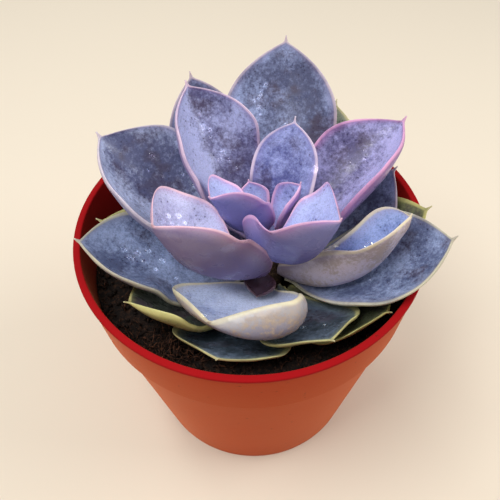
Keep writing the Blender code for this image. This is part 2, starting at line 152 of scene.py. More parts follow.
# From the heart outwards. Each leaf lies under those before it.
LEAVES = [
    Leaf("leaf_01", 10, 1, 18.5, 13.5, 56, 78, "leaf_lavender", root_out=3.2, root_heading=40, fold=66,
         fold_base=0.8, crease=0.5, thick=1.8, spike=1.6, base_curve=0.6, settles=False),
    Leaf("leaf_02", -165, 0.6, 24, 27, 32, 82, "leaf_lavender", root_out=2, root_heading=175, sweep=-8,
         curl=-30, fold=98, fold_base=0.9, fold_tip=0.45, open_from=0.05, crease=0.3, roll=6, roll_tip=38,
         thick=1.8, spike=1.2, widest=0.58, widest_right=0.76, right_share=0.85, base_width=0.05,
         base_curve=0.4, end_curve=4, blunt=2.2, pinch_left=0.1, pinch_right=0.65, ear_left=2,
         settles=False),
    Leaf("leaf_03", 115, 0, 14, 11, 55, 76, "leaf_lavender", root_out=6, fold=50, fold_base=0.55,
         thick=2, spike=1.2, base_curve=0.6),
    Leaf("leaf_04", -60, -0.6, 37, 36, 8, 86, "leaf_lavender", root_out=4.5, root_heading=-120, sweep=72,
         curl=-20, fold=96, fold_base=0.9, fold_tip=0.5, open_from=0.1, crease=0.3, roll_tip=-48,
         thick=1.8, spike=1.4, widest=0.5, widest_left=0.84, widest_right=0.3, right_share=0.95,
         base_width=0.3, base_curve=0.3, end_curve=4, blunt=2.2, pinch_left=0.65, ear_right=2,
         settles=False),
    Leaf("leaf_05", 67, -2, 35.5, 21, 40, 62, "leaf_lavender", root_out=3, sweep=4, fold_base=0.55,
         thick=2.8, widest=0.5, base_curve=0.45, end_curve=3),
    Leaf("leaf_06", -161, -5.8, 45, 40, 10, 85, "leaf_lavender", root_out=8.3, root_heading=-97,
         sweep=-12, curl=-10, fold=100, fold_base=0.9, fold_tip=0.45, open_from=0.05, crease=0.3,
         roll_tip=36, thick=2, spike=1.6, widest=0.55, widest_left=0.7, widest_right=0.7,
         right_share=0.98, base_width=0.05, base_curve=0.4, end_curve=4, blunt=2.2, pinch_right=0.76,
         pinch_left=0.05, ear_left=2, settles=False),
    Leaf("leaf_07", -34, -10.5, 48.5, 30, -5, 82, root_out=4.9, sweep=68, curl=-20, fold=105,
         fold_base=0.9, fold_tip=0.45, open_from=0.3, crease=0.3, roll=2, roll_tip=-36, spike=1.4,
         widest=0.5, widest_left=0.62, left_share=0.72, right_share=0.9, base_width=0.5,
         base_curve=0.3, end_curve=4, blunt=2.2, pinch_left=0.1, pinch_right=0.1, settles=False),
    Leaf("leaf_08", 123, -6, 53, 37, 30, 62, fold=75, fold_base=0.4, crease=0.6, roll=-4, thick=3.2),
    Leaf("leaf_09", 30, -7, 55, 36, 15, 48, sweep=8, fold=62, fold_base=0.4, crease=0.6, roll=-12,
         thick=3.2),
    Leaf("leaf_10", 165, -8.5, 60, 36, 12, 57, sweep=-22, fold=60, fold_base=0.4, crease=0.7, roll=3,
         thick=3.2, widest_left=0.5, widest_right=0.68, end_curve=2.7, left_share=1.1, right_share=1.15),
    Leaf("leaf_11", 81.5, -10, 68, 38, 20, 62, fold=35, fold_base=0.4, thick=3.2, base_curve=0.8),
    Leaf("leaf_12", -103, -9.5, 12.5, 10.5, 0, 30, root_out=4.6, fold=50, fold_base=0.55, thick=2,
         spike=1.4),
    Leaf("leaf_13", -103, -10.5, 37, 52, -4, 62, root_out=6, sweep=-40, fold=135, fold_base=0.4,
         fold_tip=1.3, right_fold=0.3, crease=2.5, roll=2, roll_tip=18, thick=3, base_curve=0.8,
         end_curve=2.6, blunt=1.4, left_share=1.02, right_share=0.84, widest_right=0.55, pinch_left=0.2),
    Leaf("leaf_14", -18, -11.5, 55, 35, -3, 57, sweep=14, fold=38, fold_base=0.3, roll=2, thick=2.8),
    Leaf("leaf_15", 27, -11, 46, 30, 8, 44, fold=30),
    Leaf("leaf_16", 116, -12, 63, 30, 14, 70, fold=30),
    Leaf("leaf_17", -174, -12, 56, 34, -4, 53, fold=45, roll=4, thick=2.8),
    Leaf("leaf_18", 63, -13, 58, 32, 8, 48, fold=25),
    Leaf("leaf_19", 168, -14, 51, 28, 0, 34, "leaf_olive", fold=22, thick=2.4),
    Leaf("leaf_20", -66, -11, 36, 33, -6, 46, "leaf_olive", root_out=6, fold=40, fold_base=0.1,
         thick=2.4),
    Leaf("leaf_21", 8, -13, 49, 28, 4, 42, "leaf_olive", fold=22, thick=2.4),
    Leaf("leaf_22", -153, -11.9, 42, 30, -5, 40, "leaf_olive", root_out=6, fold=90, fold_base=0.1,
         fold_tip=1, right_fold=0.5, crease=1.5, roll=-4, thick=2.4, left_share=1.2),
    Leaf("leaf_23", -38, -12.5, 38, 34, -4, 40, "leaf_olive", root_out=6, fold=30, fold_base=0.1,
         roll=3, thick=2.4, left_share=1.1),
    Leaf("leaf_24", -113, -13, 34, 35, -5, 30, "leaf_olive", root_out=6, fold=32, fold_base=0.1,
         thick=2.6, spike=1.2, end_curve=3, blunt=1.6, right_share=1.1),
    # Lower leaves on the far side
    Leaf("leaf_25", 99, -13, 54, 32, 6, 46, fold=25),
    Leaf("leaf_26", 141, -13.5, 52, 32, 4, 42, fold=25),
    Leaf("leaf_27", 45, -14, 48, 30, 4, 36, "leaf_olive", fold=22, thick=2.4),
    Leaf("leaf_28", 80, -15, 45, 28, 2, 30, "leaf_olive", fold=22, thick=2.4),
    Leaf("leaf_29", 122, -15, 45, 28, 2, 30, "leaf_olive", fold=22, thick=2.4),
    Leaf("leaf_30", 154, -15, 42, 26, 0, 28, "leaf_olive", fold=22, thick=2.4),
]


def smoothstep(start, end, x):
    """0 before the start, 1 after the end, and a smooth rise between them."""
    t = np.clip((x - start) / (end - start), 0, 1)
    return t * t * (3 - 2 * t)


# --- Leaf shape: u runs from root to tip, v from the right edge (-1) to the left edge (+1)


def half_width(leaf, u, widest):
    """Half the blade's width: narrow base, full middle, rounded end drawn out into a spike."""
    widest = widest or leaf.widest
    end = 1 - BLADE_END * leaf.spike / leaf.length
    near = np.clip(1 - (1 - np.clip(u / widest, 0, 1)) ** 2, 0, 1) ** leaf.base_curve
    near = ((near**3 + leaf.base_width**3) / (1 + leaf.base_width**3)) ** (1 / 3)
    far = np.clip((u - widest) / (end - widest), 0, 1) ** leaf.end_curve
    far = np.clip(1 - far, 0, 1) ** (1 / leaf.blunt)
    body = np.where(u < widest, near, far) * leaf.width / 2
    reach = SPIKE_REACH * leaf.spike / leaf.length
    foot = SPIKE_HALF_WIDTH * np.clip(leaf.width / SPIKE_FULL_AT, 0.5, 1)
    spike = foot * np.clip((1 - u) / reach, 0, 1) ** SPIKE_TAPER * smoothstep(0.6, 0.8, u)
    return np.maximum((body**BLEND + spike**BLEND) ** (1 / BLEND), TIP_POINT)


def midrib(leaf, u):
    """Points along the midrib, with the blade's sideways and upward directions there."""
    climb = np.radians(leaf.rise + (leaf.lift - leaf.rise) * u + leaf.curl * smoothstep(CURL_FROM, 1, u))
    turn = np.radians(leaf.heading + leaf.sweep * u)
    flat = np.stack([np.cos(turn), np.sin(turn), 0 * u], 1)
    along = np.cos(climb)[:, None] * flat + np.sin(climb)[:, None] * np.array([0, 0, 1])
    side = np.stack([-np.sin(turn), np.cos(turn), 0 * u], 1)
    up = np.cross(along, side)
    roll_tip = leaf.roll if leaf.roll_tip is None else leaf.roll_tip
    roll = np.radians(leaf.roll + (roll_tip - leaf.roll) * u)[:, None]
    side, up = side * np.cos(roll) + up * np.sin(roll), up * np.cos(roll) - side * np.sin(roll)
    root_turn = radians(leaf.heading if leaf.root_heading is None else leaf.root_heading)
    root = crown_at(leaf.height) + leaf.root_out * np.array([cos(root_turn), sin(root_turn), 0])
    steps = (along[1:] + along[:-1]) / 2 * np.diff(u)[:, None] * leaf.length
    return root + np.concatenate([np.zeros((1, 3)), np.cumsum(steps, 0)]), side, up


def crown_at(height):
    """The crown's axis at a height above the rim."""
    return np.array([CROWN_X, CROWN_Y + CROWN_LEAN * height, POT_HEIGHT + height])


def section(leaf, u, v):
    """Sideways and upward offsets of the blade's middle surface, and its slope, for every u and v."""
    fold = leaf.fold_base + (1 - leaf.fold_base) * smoothstep(0, 0.5, u)
    fold = np.radians(leaf.fold) * fold * (1 - (1 - leaf.fold_tip) * smoothstep(leaf.open_from, 1, u))
    fold = fold[:, None] * np.where(v < 0, leaf.right_fold, 1)
    steps = (np.arange(FOLD_STEPS) + 0.5) / FOLD_STEPS
    slopes = fold[..., None] * (abs(v)[:, None] * steps) ** leaf.crease
    out = np.cos(slopes).mean(2) * v
    up = np.sin(slopes).mean(2) * abs(v)
    fade = 1 - smoothstep(0, 0.6, u)
    left = half_width(leaf, u, leaf.widest_left) * leaf.left_share * (1 - leaf.pinch_left * fade)
    right = half_width(leaf, u, leaf.widest_right) * leaf.right_share * (1 - leaf.pinch_right * fade)
    reach = np.where(v < 0, right[:, None], left[:, None])
    return out * reach, up * reach, fold * abs(v) ** leaf.crease * np.sign(v)


def thickness(leaf, u):
    """The leaf's thickness down its middle: thinner at the root, and thin in the tip."""
    base = ROOT_THICKNESS + (1 - ROOT_THICKNESS) * smoothstep(0, 0.4, u)
    body = leaf.thick * base * (1 - (1 - END_THICKNESS) * smoothstep(0.45, 0.95, u))
    rest = np.clip((1 - u) * leaf.length / (THICK_SPIKES * leaf.spike), 0, 1) ** 0.8
    body = body * np.where(u > 0.999, 0.25, TIP_THICKNESS + (1 - TIP_THICKNESS) * rest)
    return np.minimum(body, MOST_THICKNESS * half_width(leaf, u, None) + TIP_POINT)


def skin(leaf, u, v, push=0):
    """Top and bottom points of the leaf, moved by push."""
    centre, side, up = midrib(leaf, u)
    out, rise, slope = section(leaf, u, v)
    turn, climb = radians(leaf.heading), radians(leaf.rise)
    ahead = np.array([cos(turn) * cos(climb), sin(turn) * cos(climb), sin(climb)])
    ears = np.where(v < 0, leaf.ear_right, leaf.ear_left) * abs(v) ** EAR_POWER
    back = (smoothstep(-0.1, 0.1, u) * (1 - smoothstep(0.1, 0.5, u)))[:, None] * ears
    centre = centre[:, None] - back[..., None] * ahead
    full = thickness(leaf, u)[:, None] * np.sqrt(np.clip(1 - abs(v) ** EDGE_POWER, 0, 1))
    keel = 1 + KEEL_SHARE * np.exp(-((v / KEEL_WIDTH) ** 2))
    surfaces = []
    for offset in (TOP_SHARE * full, (TOP_SHARE - 1) * full * keel):
        across = (out - np.sin(slope) * offset)[..., None] * side[:, None]
        normal = (rise + np.cos(slope) * offset)[..., None] * up[:, None]
        surfaces.append(centre + across + normal + push)
    return surfaces


# --- Nesting: each leaf gives way under the leaves above it


def along_grid():
    """Where along a leaf its push is worked out."""
    return np.linspace(0, 1, GRID_ALONG)


def across_grid():
    """Where across a leaf its push is worked out, closer together at the edges."""
    return np.sin(np.linspace(-1, 1, GRID_ACROSS) * pi / 2)


def of_neighbours(values, choose):
    """Each cell becomes choose() of itself and its eight neighbours."""
    wide = np.pad(values, 1, mode="edge")
    rows, columns = values.shape
    return choose([wide[i : i + rows, j : j + columns] for i in range(3) for j in range(3)], axis=0)


def cells_of(along, across):
    """Index of the square millimetre under each point of a leaf's own frame."""
    places = (along + MAP_ROOT[0], across + MAP_ROOT[1])
    return tuple(np.clip(np.round(place), 1, MAP_CELLS - 2).astype(int) for place in places)


def lowest_map(along, across, height):
    """Lowest height over each square millimetre and those beside it."""
    lowest = np.full((MAP_CELLS, MAP_CELLS), np.inf)
    rows, columns = cells_of(along, across)
    for i in (-1, 0, 1):
        for j in (-1, 0, 1):
            np.minimum.at(lowest, (rows + i, columns + j), height)
    return lowest


def settle(leaf, above):
    """How far each point of the leaf gives way, and in which direction, to clear the leaves above."""
    u, v = along_grid(), across_grid()
    centre, side, _ = midrib(leaf, u)
    chord = (centre[-1] - centre[0]) / np.linalg.norm(centre[-1] - centre[0])
    level = side.mean(0) - side.mean(0) @ chord * chord
    level = level / np.linalg.norm(level)
    away = -np.cross(chord, level)
    if not above or not leaf.settles:
        return np.zeros((GRID_ALONG, GRID_ACROSS)), away
    top = skin(leaf, u, v)[0] - centre[0]
    own_cells = cells_of(top @ chord, top @ level)
    own = lowest_map(top @ chord, top @ level, -(top @ away))
    others = np.concatenate([points.reshape(-1, 3) for points in above]) - centre[0]
    under = own[cells_of(others @ chord, others @ level)]
    over = others[(under < np.inf) & (-(others @ away) > under - DEEPEST_PUSH)]
    ceiling = lowest_map(over @ chord, over @ level, -(over @ away))[own_cells]
    need = np.where(np.isfinite(ceiling), np.clip(LEAF_GAP - top @ away - ceiling, 0, DEEPEST_PUSH), 0)
    wide = of_neighbours(need, np.max)
    push = of_neighbours(wide, np.max)
    for _ in range(WIDE_SMOOTHINGS):
        push = of_neighbours(push, np.mean)
    push = np.maximum(push, wide)
    for _ in range(LAST_SMOOTHINGS):
        push = of_neighbours(push, np.mean)
    return push, away


def settled_leaves():
    """(leaf, push, direction of the push) for every leaf, from the heart outwards."""
    settled, undersides = [], []
    for leaf in LEAVES:
        push, away = settle(leaf, undersides)
        top, bottom = skin(leaf, along_grid(), across_grid(), push[..., None] * away)
        undersides.append(np.concatenate([bottom, top[:, [0, -1]]], 1))
        settled.append((leaf, push, away))
    return settled


def sampled(push, u, v):
    """The push grid read at other u and v."""
    at_u = np.array([np.interp(u, along_grid(), column) for column in push.T]).T
    return np.array([np.interp(v, across_grid(), row) for row in at_u])


# --- Settings a user would change


def linear(hex_colour):
    """An sRGB hex colour as linear red, green and blue."""
    values = [int(hex_colour[i : i + 2], 16) / 255 for i in (1, 3, 5)]
    return tuple(v / 12.92 if v <= 0.04045 else ((v + 0.055) / 1.055) ** 2.4 for v in values)


def colour_property(name, description, hex_colour):
    """A colour that a user can change."""
    return FloatVectorProperty(name=name, description=description, subtype="COLOR", size=3, min=0, max=1,
                               default=linear(hex_colour))


def size_property(name, description, millimetres, least):
    """A length that a user can change, with its least value in metres."""
    return FloatProperty(name=name, description=description, default=millimetres * MM, min=least,
                         unit="LENGTH")


def power_property(name, description, watts):
    """A light's power that a user can change."""
    return FloatProperty(name=name, description=description, default=watts, min=0, unit="POWER")


class LeafSettings(bpy.types.PropertyGroup):
    """Sizes in the leaves' skin"""

    margin_width: size_property("Margin width", "Width of the pale line along a leaf's edge", 1.3, 0)
    wax_patch: size_property("Wax patch", "Size of the patches where the wax is rubbed off", 9, 0.001)
    speck_pitch: size_property("Speck pitch", "Distance between the small dark specks", 1.1, 0.0001)


class PotSettings(bpy.types.PropertyGroup):
    """Colours of the pot and what fills it"""

    # Painted light: the wall and the lip are one plastic, drawn in two colours for the light on them: orange
    # where warm light falls on the wall, deeper red on the lip, which catches cooler light, and inside the
    # pot, which is shaded
    wall_colour: colour_property("Wall", "Colour of the pot's moulded wall", "#B4441E")
    lip_colour: colour_property("Lip", "Colour of the pot's lip and inside", "#9A1418")
    peat_colour: colour_property("Peat", "Colour of the damp peat", "#140C08")


class DropSettings(bpy.types.PropertyGroup):
    """Size of the water drops"""

    largest: size_property("Largest drop", "Width of the largest water drop", 2.2, 0.0002)


class StageSettings(bpy.types.PropertyGroup):
    """Colour and light of the stage"""

    floor_colour: colour_property("Floor", "Colour of the floor", "#E8DCC8")
    key_power: power_property("Key power", "Power of the large soft light", 2.2)
    fill_power: power_property("Fill power", "Power of the second soft light", 1.5)


# --- Materials

# Kinds of node: type, settings, the inputs that values are given for in turn, and the output that is used
PLACE = ("ShaderNodeTexCoord", {}, (), "Object")
CARRIED = ("ShaderNodeAttribute", {}, (), "Fac")  # a number that set_attribute gave the mesh
NOISE = ("ShaderNodeTexNoise", {}, ("Vector", "Scale", "Detail", "Roughness"), 0)
SPOTS = ("ShaderNodeTexVoronoi", {}, ("Vector", "Scale"), 0)
PLUS = ("ShaderNodeMath", {"operation": "ADD"}, (0, 1), 0)
TIMES = ("ShaderNodeMath", {"operation": "MULTIPLY"}, (0, 1), 0)
RAMP = ("ShaderNodeMapRange", {"interpolation_type": "SMOOTHSTEP"},
        ("Value", "From Min", "From Max", "To Min", "To Max"), 0)
MIX = ("ShaderNodeMix", {"data_type": "RGBA"}, (0, 6, 7), 2)  # amount, first colour, second colour
BUMP = ("ShaderNodeBump", {}, ("Strength", "Distance", "Height"), 0)
SHADER = ("ShaderNodeBsdfPrincipled", {}, ("Base Color", "Roughness"), 0)


def add(tree, kind, *values, **named):
    """Adds a node with its settings and links, and returns its output.

    The values go to the kind's inputs in turn, and the named ones to the setting or the input of that name.
    An output is linked, a hex colour is made linear and anything else is set as it is.
    """
    node_type, settings, order, output = kind
    made = tree.nodes.new(node_type)
    inputs = dict(zip(order, values))
    for key, value in {**settings, **named}.items():
        if hasattr(made, key):
            setattr(made, key, value)
        else:
            inputs[key.replace("_", " ")] = value
    for key, value in inputs.items():
        if isinstance(value, bpy.types.NodeSocket):
            tree.links.new(value, made.inputs[key])
        else:
            made.inputs[key].default_value = (*linear(value), 1) if isinstance(value, str) else value
    return made.outputs[output]


def new_material(name):
    """An empty material, and the function that adds a node to it."""
    made = bpy.data.materials.new(name)
    made.use_nodes = True
    made.node_tree.nodes.clear()
    return made, partial(add, made.node_tree)


def finished(made, surface):
    """The material, with the surface on its output."""
    end = made.node_tree.nodes.new("ShaderNodeOutputMaterial")
    made.node_tree.links.new(surface, end.inputs["Surface"])
    return made


@dataclass
class Skin:
    """Colours of one kind of leaf, and how worn it is."""

    bare: str  # where the wax is rubbed off
    bloom: str  # where the wax is whole
    edge: str
    flush: str  # inside the edge
    under: str  # underside
    wax_left: float
    corky: float  # how much of the underside's scabs shows
    edge_share: float  # width of the edge, as a share of the margin width


SKINS = {
    "heart": Skin("#8288C6", "#BEC6F2", "#EEBAD6", "#AA6EAE", "#645A98", 0.75, 0.0, 1.0),
    "lobe": Skin("#A09CCC", "#CFCFF0", "#F0C2CC", "#B47CA4", "#74608A", 0.85, 0.1, 1.0),
    "spoon": Skin("#565A94", "#AEB6EA", "#E8D2E0", "#7C6CA8", "#7870A8", 0.50, 0.0, 1.0),
    "tall": Skin("#5C587E", "#C0C4EC", "#E8CCDC", "#8C6CA0", "#7C74A8", 0.50, 0.0, 1.0),
    "side": Skin("#5E6284", "#C2CCEE", "#DCD0D8", "#80709C", "#7C78A4", 0.52, 0.0, 1.0),
    "pink": Skin("#5C567E", "#BCB8EA", "#E6A8CC", "#A8609C", "#8070A8", 0.52, 0.0, 1.0),
    "plum": Skin("#565A78", "#A8B4DC", "#CDBCC4", "#7A6888", "#6C6488", 0.44, 0.1, 1.1),
    "slate": Skin("#5A6486", "#AEBEE4", "#D2CCAE", "#746A78", "#847C88", 0.48, 0.2, 1.3),
    "keel": Skin("#8E9ECC", "#CEDAF8", "#E8DCB4", "#B4ACAC", "#8A8492", 0.85, 0.9, 1.5),
    "flap": Skin("#7084BC", "#B0C0EE", "#ECDCB4", "#A898B4", "#D8C8D4", 0.85, 0.7, 1.3),
    "green": Skin("#36424A", "#7C8EA6", "#DAD492", "#848C60", "#A8A25E", 0.42, 0.3, 2.2),
    "olive": Skin("#525A50", "#8E9A90", "#DCD48C", "#8C9056", "#B4AC62", 0.36, 0.3, 2.2),
    "pale": Skin("#8E9C88", "#BCC8B4", "#E6DCA8", "#A8A884", "#B4AC62", 0.50, 0.2, 1.8),
    "shade": Skin("#4C523C", "#7E8660", "#CEC87E", "#848650", "#98924E", 0.35, 0.4, 2.2),
    # Painted shade: leaf_12 lies deep in shadow among the leaves, and this whole skin, edge and underside
    # too, is drawn dark for that shade
    "dark": Skin("#33202A", "#4A3440", "#523842", "#402A34", "#33202A", 0.3, 0.6, 1.0),
}

SKIN_OF = {
    "heart": ("leaf_01", "leaf_02", "leaf_03", "leaf_04"),
    "lobe": ("leaf_06",),
    "spoon": ("leaf_05",),
    "tall": ("leaf_08",),
    "side": ("leaf_10",),
    "pink": ("leaf_09",),
    "plum": ("leaf_11", "leaf_15", "leaf_16", "leaf_25", "leaf_26"),
    "pale": ("leaf_18",),
    "slate": ("leaf_14", "leaf_17"),
    "keel": ("leaf_13",),
    "flap": ("leaf_07",),
    "green": ("leaf_20", "leaf_24"),
    "olive": ("leaf_19", "leaf_22", "leaf_28", "leaf_30"),
    "shade": ("leaf_21", "leaf_23", "leaf_27", "leaf_29"),
    # Painted shade: leaf_12's skin is drawn dark for the shadow it lies in
    "dark": ("leaf_12",),
}

# Colours that every leaf skin shares
BROWN_PLUM = "#4E3E4A"
POWDER_SHADE = "#2E2A48"
SPECK_COLOUR = "#342E46"
UNDER_SHADE = "#2E2A38"
CORK_DARK = "#7C6258"
CORK_LIGHT = "#C8B49C"
# Painted shade at the roots, where the leaves crowd round the crown
ROOT_SHADE = "#3A2240"
DRY_TIP = "#B8A4A0"

# Sizes of the leaf skin's patterns
BROAD_CLOUD = 2.2  # of a wax patch
TINGE_CLOUD = 8.0 * MM
FILM_PATCH = 5.0 * MM
MOTTLE = 1.3 * MM
# The wax is a fine powder. Its grain is too small to show, and is drawn this coarse so that it does, as
# painted shade in the hollows between grains
POWDER_GRAIN = 0.45 * MM
SKIN_BUMP = 0.15 * MM
LIGHT_DEPTH = 1.5 * MM


def leaf_patterns(node, settings):
    """What the skin is mixed from: where a point lies on its leaf, and clouds, grains and specks."""
    place = node(PLACE)
    on_leaf = {key: node(CARRIED, attribute_name=key) for key in ("along", "inset", "top", "extra_wax")}
    return SimpleNamespace(
        **on_leaf,
        cloud=node(NOISE, place, 1 / (BROAD_CLOUD * settings.wax_patch), 2, 0.55),
        patches=node(NOISE, place, 1 / settings.wax_patch, 5, 0.6),
        mottle=node(NOISE, place, 1 / MOTTLE, 5, 0.75),
        powder=node(NOISE, place, 1 / POWDER_GRAIN, 3, 0.7),
        tinge=node(NOISE, place, 1 / TINGE_CLOUD, 3, 0.55),
        film=node(NOISE, place, 1 / FILM_PATCH, 2, 0.55),
        specks=node(SPOTS, place, 1 / settings.speck_pitch),
    )


def wax_cover(node, on, look):
    """How whole the wax is. It lasts near the edge and towards the base, where nothing rubs it."""
    whole = node(TIMES, on.cloud, 0.5)
    near_edge = node(RAMP, on.inset, 0.8, 6.0, 0.07, 0.0)
    near_base = node(RAMP, on.along, 0.25, 0.6, 0.06, 0.0)
    for more in (node(TIMES, on.patches, 0.4), node(TIMES, on.mottle, 0.5), -0.2, near_edge, near_base,
                 on.extra_wax):
        whole = node(PLUS, whole, more)
    middle = 0.68 - 0.3 * look.wax_left
    return node(RAMP, whole, middle - 0.14, middle + 0.16)


def upper_side(node, on, look, wax):
    """Wax over rubbed skin, which goes brownish plum in broad clouds, with dark specks towards the tip."""
    tinge = node(RAMP, on.tinge, 0.48, 0.62, 0.0, 1.1 * (1 - look.wax_left))
    colour = node(MIX, wax, node(MIX, tinge, look.bare, BROWN_PLUM), look.bloom)
    # Painted shade: the hollows between the wax powder's grains are darkened towards a deep shade colour
    painted_grain_shade = node(RAMP, on.powder, 0.54, 0.34, 0.0, 0.55)
    colour = node(MIX, painted_grain_shade, colour, node(MIX, 0.5, colour, POWDER_SHADE))
    some_places = node(RAMP, node(PLUS, on.mottle, on.patches), 1.04, 0.86)
    specks = node(TIMES, node(RAMP, on.specks, 0.36, 0.1), some_places)
    return node(MIX, node(TIMES, specks, node(RAMP, on.along, 0.3, 0.6, 0.0, 0.8)), colour, SPECK_COLOUR)


def lower_side(node, on, look):
    """A plainer side: greyer down the keel, and browner where it has turned corky."""
    colour = node(MIX, node(RAMP, on.cloud, 0.3, 0.7, 0.0, 0.25), look.under, look.bloom)
    colour = node(MIX, node(RAMP, on.inset, 0.5, 7.0, 0.25, 0.0), colour, look.edge)
    # Painted shade: the hollows between the wax powder's grains are darkened towards a deep shade colour
    painted_grain_shade = node(RAMP, on.powder, 0.5, 0.3, 0.0, 0.35)
    colour = node(MIX, painted_grain_shade, colour, node(MIX, 0.4, colour, UNDER_SHADE))
    scab = node(RAMP, node(PLUS, node(TIMES, on.patches, 0.5), node(TIMES, on.mottle, 0.5)), 0.44, 0.56)
    return node(MIX, node(TIMES, scab, look.corky), colour, node(MIX, on.mottle, CORK_DARK, CORK_LIGHT))


def edged(node, on, look, colour, margin):
    """Painted shade in deeper plum at the root, a soft flush inside the edge, the edge's thin hard line, and
    a dry tip.
    """
    # Painted shade: towards the root the colour darkens to a deep plum, for the shade where the leaves crowd
    # round the crown
    plum = node(MIX, 0.65, colour, ROOT_SHADE)
    colour = node(MIX, node(RAMP, on.along, 0.30, 0.05, 0.0, 0.75), colour, plum)
    blush = node(RAMP, on.inset, 2.6 * margin, 0.3, 0.0, 0.55)
    colour = node(MIX, node(TIMES, blush, node(RAMP, on.mottle, 0.35, 0.6, 0.4, 1.0)), colour, look.flush)
    line = node(RAMP, on.inset, 0.85 * margin, 0.35 * margin, 0.0, 0.85)
    colour = node(MIX, node(TIMES, line, node(RAMP, on.patches, 0.35, 0.6, 0.55, 1.0)), colour, look.edge)
    return node(MIX, node(RAMP, on.along, 0.955, 0.99, 0.0, 0.6), colour, node(MIX, 0.5, look.edge, DRY_TIP))


def leaf_skin(name, settings):
    """Fleshy skin under a powdery wax: matt and pale where the wax is whole, darker where it is rubbed."""
    look = SKINS[name]
    made, node = new_material(f"waxy_leaf_{name}")
    on = leaf_patterns(node, settings)
    wax = wax_cover(node, on, look)
    colour = node(MIX, on.top, lower_side(node, on, look), upper_side(node, on, look, wax))
    colour = edged(node, on, look, colour, look.edge_share * settings.margin_width / MM)
    # A film of water lies in patches and makes the skin under it shine
    film = node(RAMP, on.film, 0.52, 0.6, 1.0, 0.35)
    rough = node(TIMES, node(RAMP, wax, 0.0, 1.0, 0.36, 0.55), film)
    surface = node(SHADER, colour, rough, Normal=node(BUMP, 0.4, SKIN_BUMP, on.mottle), IOR=1.42,
                   Specular_IOR_Level=0.45, Subsurface_Weight=0.12, Subsurface_Scale=LIGHT_DEPTH,
                   Subsurface_Radius=(1.0, 0.6, 0.6))
    return finished(made, surface)


# Patterns in the pot's wall
FLOW_MARK = 35.7 * MM
DIRT_SPECK = 2.38 * MM
# The mould's own texture is finer than this, and is drawn coarser so that it shows
MOULD_GRAIN = 1.11 * MM


def moulded_pot(settings):
    """Injection-moulded polypropylene: an even sheen over flow marks, with painted light in the deeper red of
    the lip and inside.
    """
    made, node = new_material("moulded_polypropylene")
    place = node(PLACE)
    flow = node(RAMP, node(NOISE, place, 1 / FLOW_MARK, 5), 0.35, 0.7, 0.0, 0.35)
    colour = node(MIX, flow, (*settings.wall_colour, 1), "#B4502C")
    # Painted light: the lip and the shaded inside take a deeper red than the wall, though they are the same
    # plastic
    colour = node(MIX, node(CARRIED, attribute_name="inside"), colour, (*settings.lip_colour, 1))
    dirt = node(RAMP, node(NOISE, place, 1 / DIRT_SPECK, 4, 0.7), 0.66, 0.72, 0.0, 0.6)
    colour = node(MIX, dirt, colour, "#4A2418")
    bump = node(BUMP, 0.25, 0.1 * MM, node(NOISE, place, 1 / MOULD_GRAIN, 2))
    # The sheen stands partly for dust and fine scuffs, and its orange tint is a painted warm reflection;
    # together they lighten the wall where it turns away
    surface = node(SHADER, colour, 0.45, Normal=bump, IOR=1.49, Specular_IOR_Level=0.01, Sheen_Weight=0.25,
                   Sheen_Roughness=0.35, Sheen_Tint="#FFAA76")
    return finished(made, surface)


def crumbly(name, dark, light, grain_size):
    """Peat, its fibres and cork: matt crumbs, nearly black where damp, brown where they stand up and dry."""
    made, node = new_material(name)
    grain = node(NOISE, node(PLACE), 1 / grain_size, 8, 0.7)
    colour = node(MIX, node(RAMP, grain, 0.45, 0.72), dark, light)
    bump = node(BUMP, 0.9, 0.8 * MM, grain)
    return finished(made, node(SHADER, colour, 0.85, Normal=bump, Specular_IOR_Level=0.3))


def clear_water():
    """Water: no colour of its own, a sharp glint, and the leaf seen bent through it."""
    made, node = new_material("water")
    return finished(made, node(SHADER, "#FFFFFF", 0.02, IOR=1.33, Transmission_Weight=1.0))


def matt_paper(colour):
    """Backdrop paper: one even colour with next to no shine."""
    made, node = new_material("matt_paper")
    return finished(made, node(SHADER, colour, 0.9, Specular_IOR_Level=0.2))


# --- Meshes


def mesh_object(name, points, faces, material, slot=None, replaced=()):
    """A smooth mesh of points in millimetres, which rides on the pot's body when it is given a slot."""
    mesh = bpy.data.meshes.new(name)
    mesh.from_pydata((np.asarray(points) * MM).tolist(), [], faces)
    mesh.validate()
    mesh.shade_smooth()
    mesh.materials.append(material)
    made = bpy.data.objects.new(name, mesh)
    bpy.context.scene.collection.objects.link(made)
    if slot:
        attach(made, "root")
        if replaced:
            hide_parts(*replaced)
    return made


def loft_faces(rings, around):
    """Quads over a stack of closed rings and a fan on each end, whose middles are the last two points."""
    faces = []
    for i in range(rings - 1):
        for j in range(around):
            k = (j + 1) % around
            faces.append((i * around + j, i * around + k, (i + 1) * around + k, (i + 1) * around + j))
    last = (rings - 1) * around
    for j in range(around):
        k = (j + 1) % around
        faces.append((k, j, rings * around))
        faces.append((last + j, last + k, rings * around + 1))
    return faces


def lofted(rings):
    """Points and outward faces of a stack of closed rings."""
    rings = np.asarray(rings)
    points = np.concatenate([rings.reshape(-1, 3), [rings[0].mean(0)], [rings[-1].mean(0)]])
    return points, loft_faces(len(rings), rings.shape[1])


def lathed(profile, steps):
    """Points and faces of a closed outline of (radius, height) spun round Z."""
    turns = np.linspace(0, 2 * pi, steps, endpoint=False)
    radii, heights = np.transpose(profile)
    points = np.stack([np.outer(np.cos(turns), radii), np.outer(np.sin(turns), radii),
                       np.tile(heights, (steps, 1))], 2)
    count = len(profile)
    faces = []
    for i in range(steps):
        for j in range(count):
            k, after = (j + 1) % count, (i + 1) % steps
            faces.append((i * count + j, after * count + j, after * count + k, i * count + k))
    return points.reshape(-1, 3), faces


